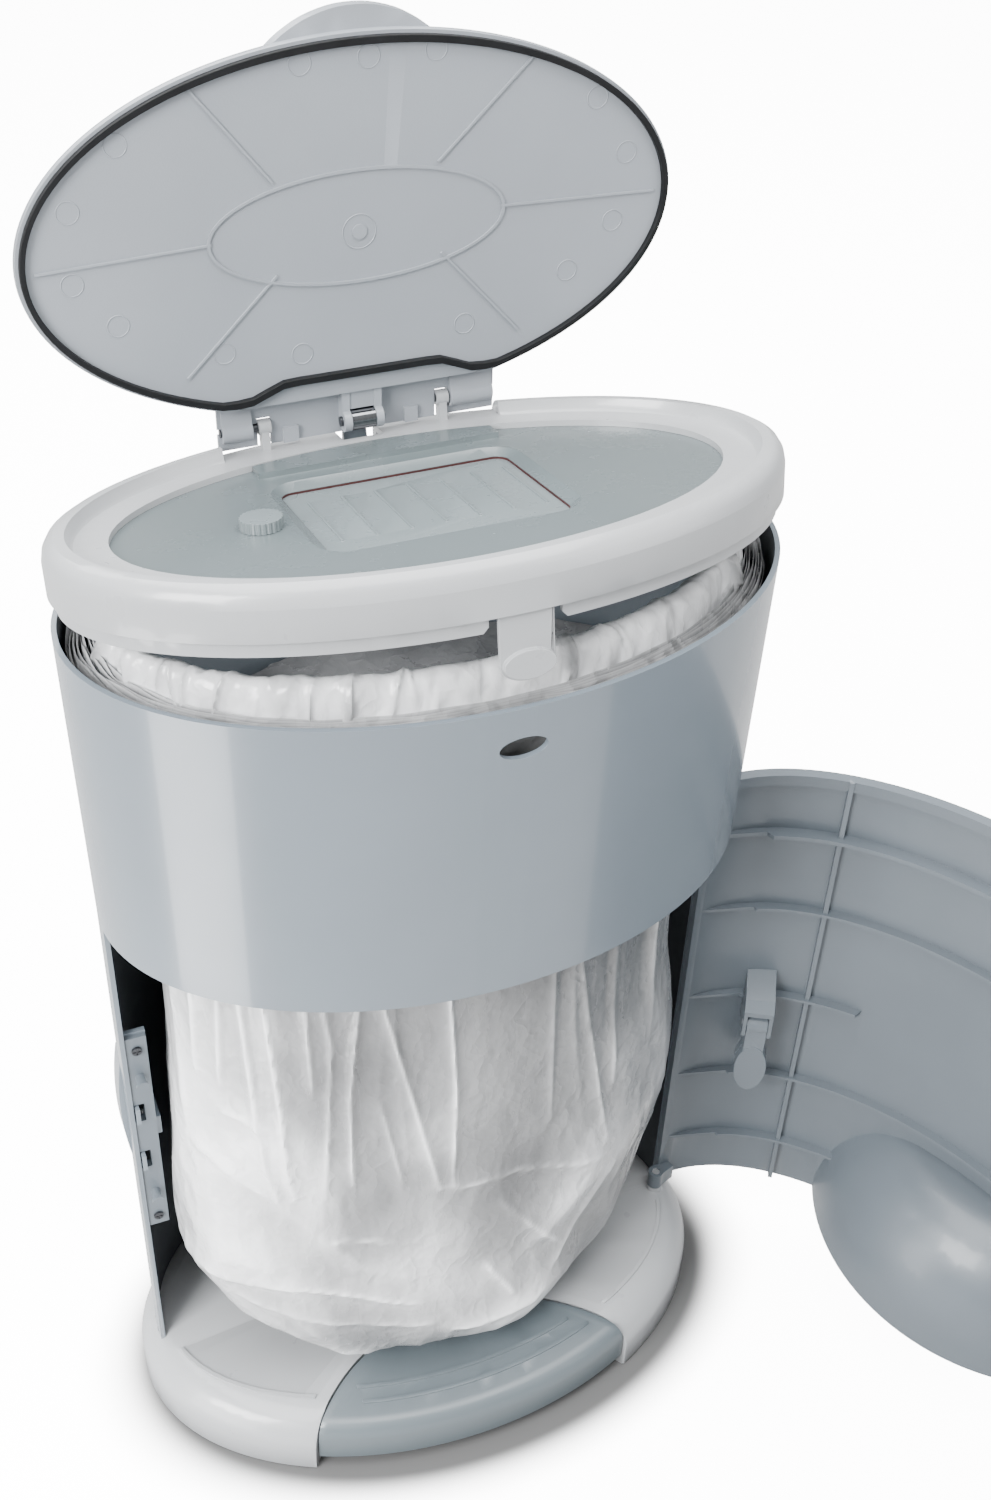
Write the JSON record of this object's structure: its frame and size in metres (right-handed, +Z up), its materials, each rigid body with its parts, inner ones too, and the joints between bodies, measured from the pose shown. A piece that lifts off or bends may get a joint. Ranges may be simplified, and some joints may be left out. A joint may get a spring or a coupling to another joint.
{
  "type": "nappy bin",
  "caption": "Oval pedal nappy bin with a hinged lid, a tipping collar with a trap flap, a swing-out front door with a film cutter, and a film-lined bag inside.",
  "frame": {"origin": "centre of the bottom face of the middle foot, on the floor under the centre of the base", "axes": "+Z up, +X to the side of the door hinge, -Y towards the front with the pedal and the door"},
  "size_m": [0.5896, 0.5104, 0.8987],
  "materials": {
    "white_plastic": "pearl white gloss",
    "blue_plastic": "blue grey high gloss",
    "grey_plastic": "satin grey",
    "pale_plastic": "satin pale grey",
    "black_rubber": "soft black seal",
    "dark_rubber": "dark red gasket",
    "bright_steel": "bright steel",
    "film": "thin translucent film, used as light gathered sheet"
  },
  "bodies": {
    "body": {"base": "white_plastic", "base_floor": "white_plastic", "base_feet": "black_rubber", "body_shell": "blue_plastic", "rod_guides": "pale_plastic", "latch_plate": "pale_plastic", "latch_screws": "bright_steel", "latch_pegs": "pale_plastic", "release_spring": "bright_steel", "film_tray": "grey_plastic", "film_pack": "film", "film_roll": "film", "liner_bag": "film", "pedal_axle": "bright_steel", "pedal_spring": "bright_steel", "collar_pins": "bright_steel", "door_pins": "bright_steel"},
    "pedal": {"pedal_pad": "grey_plastic", "pedal_lever": "grey_plastic", "pedal_screws": "bright_steel"},
    "rod": {"push_rod": "grey_plastic"},
    "collar": {"collar_ring": "white_plastic", "trap_panel": "grey_plastic", "flap_pin": "bright_steel", "flap_spring": "bright_steel", "lid_pins": "bright_steel"},
    "flap": {"trap_flap": "pale_plastic", "flap_gasket": "dark_rubber"},
    "knob": {"turn_knob": "pale_plastic"},
    "tongue": {"latch_tongue": "white_plastic"},
    "lid": {"lid_outer": "grey_plastic", "lid_inner": "pale_plastic", "lid_seal": "black_rubber", "lid_hinge_lugs": "grey_plastic", "roller_pin": "bright_steel"},
    "roller": {"lid_roller": "bright_steel"},
    "door": {"door_panel": "grey_plastic", "cutter_bracket": "grey_plastic", "cutter_pin": "bright_steel"},
    "cutter": {"cutter_lever": "grey_plastic", "cutter_blade": "bright_steel"},
    "release": {"door_release": "blue_plastic"}
  },
  "joints": [
    {"name": "collar_tip", "type": "hinge", "parent": "body", "child": "collar", "pos_m": [0, 0.138, 0.648], "axis": [-1, 0, 0], "range_deg": [-10.8, 60]},
    {"name": "lid_open", "type": "hinge", "parent": "collar", "child": "lid", "pos_m": [0, 0.11739, 0.67871], "axis": [-1, 0, 0], "range_deg": [-81, 0]},
    {"name": "pedal_press", "type": "hinge", "parent": "body", "child": "pedal", "pos_m": [0, -0.02, 0.026], "axis": [-1, 0, 0], "range_deg": [0, 5]},
    {"name": "rod_lift", "type": "slide", "parent": "body", "child": "rod", "axis": [0, 0, 1], "range_m": [-0.0125, 0]},
    {"name": "flap_swing", "type": "hinge", "parent": "collar", "child": "flap", "pos_m": [0, 0.06559, 0.66334], "axis": [1, 0, 0], "range_deg": [0, 75], "stiffness_Nm_per_rad": 0.02, "springref_deg": -34.38},
    {"name": "knob_turn", "type": "hinge", "parent": "collar", "child": "knob", "pos_m": [-0.088, 0.00924, 0.68173], "axis": [0, 0.1874, 0.9823], "range_deg": [0, 90]},
    {"name": "tongue_press", "type": "slide", "parent": "collar", "child": "tongue", "axis": [0, 0.9823, -0.1874], "range_m": [0, 0.003], "stiffness_N_per_m": 300, "springref_m": -0.001},
    {"name": "roller_spin", "type": "hinge", "parent": "lid", "child": "roller", "pos_m": [0, 0.11054, 0.67742], "axis": [1, 0, 0], "continuous": true},
    {"name": "door_swing", "type": "hinge", "parent": "body", "child": "door", "pos_m": [0.189, -0.0055, 0], "axis": [0, 0, 1], "range_deg": [-110, 8]},
    {"name": "cutter_swing", "type": "hinge", "parent": "door", "child": "cutter", "pos_m": [0.23679, -0.0304, 0.236], "axis": [-0.8746, 0.4848, 0], "range_deg": [0, 20], "stiffness_Nm_per_rad": 0.05, "springref_deg": -28.65},
    {"name": "release_press", "type": "slide", "parent": "body", "child": "release", "axis": [1, 0, 0], "range_m": [0, 0.003], "stiffness_N_per_m": 400, "springref_m": -0.002, "deforming": ["release_spring"]}
  ],
  "couplings": [
    {"joint": "pedal_press", "follows": "lid_open", "ratio": -0.0617},
    {"joint": "rod_lift", "follows": "lid_open", "m_per_rad": 0.00884}
  ]
}
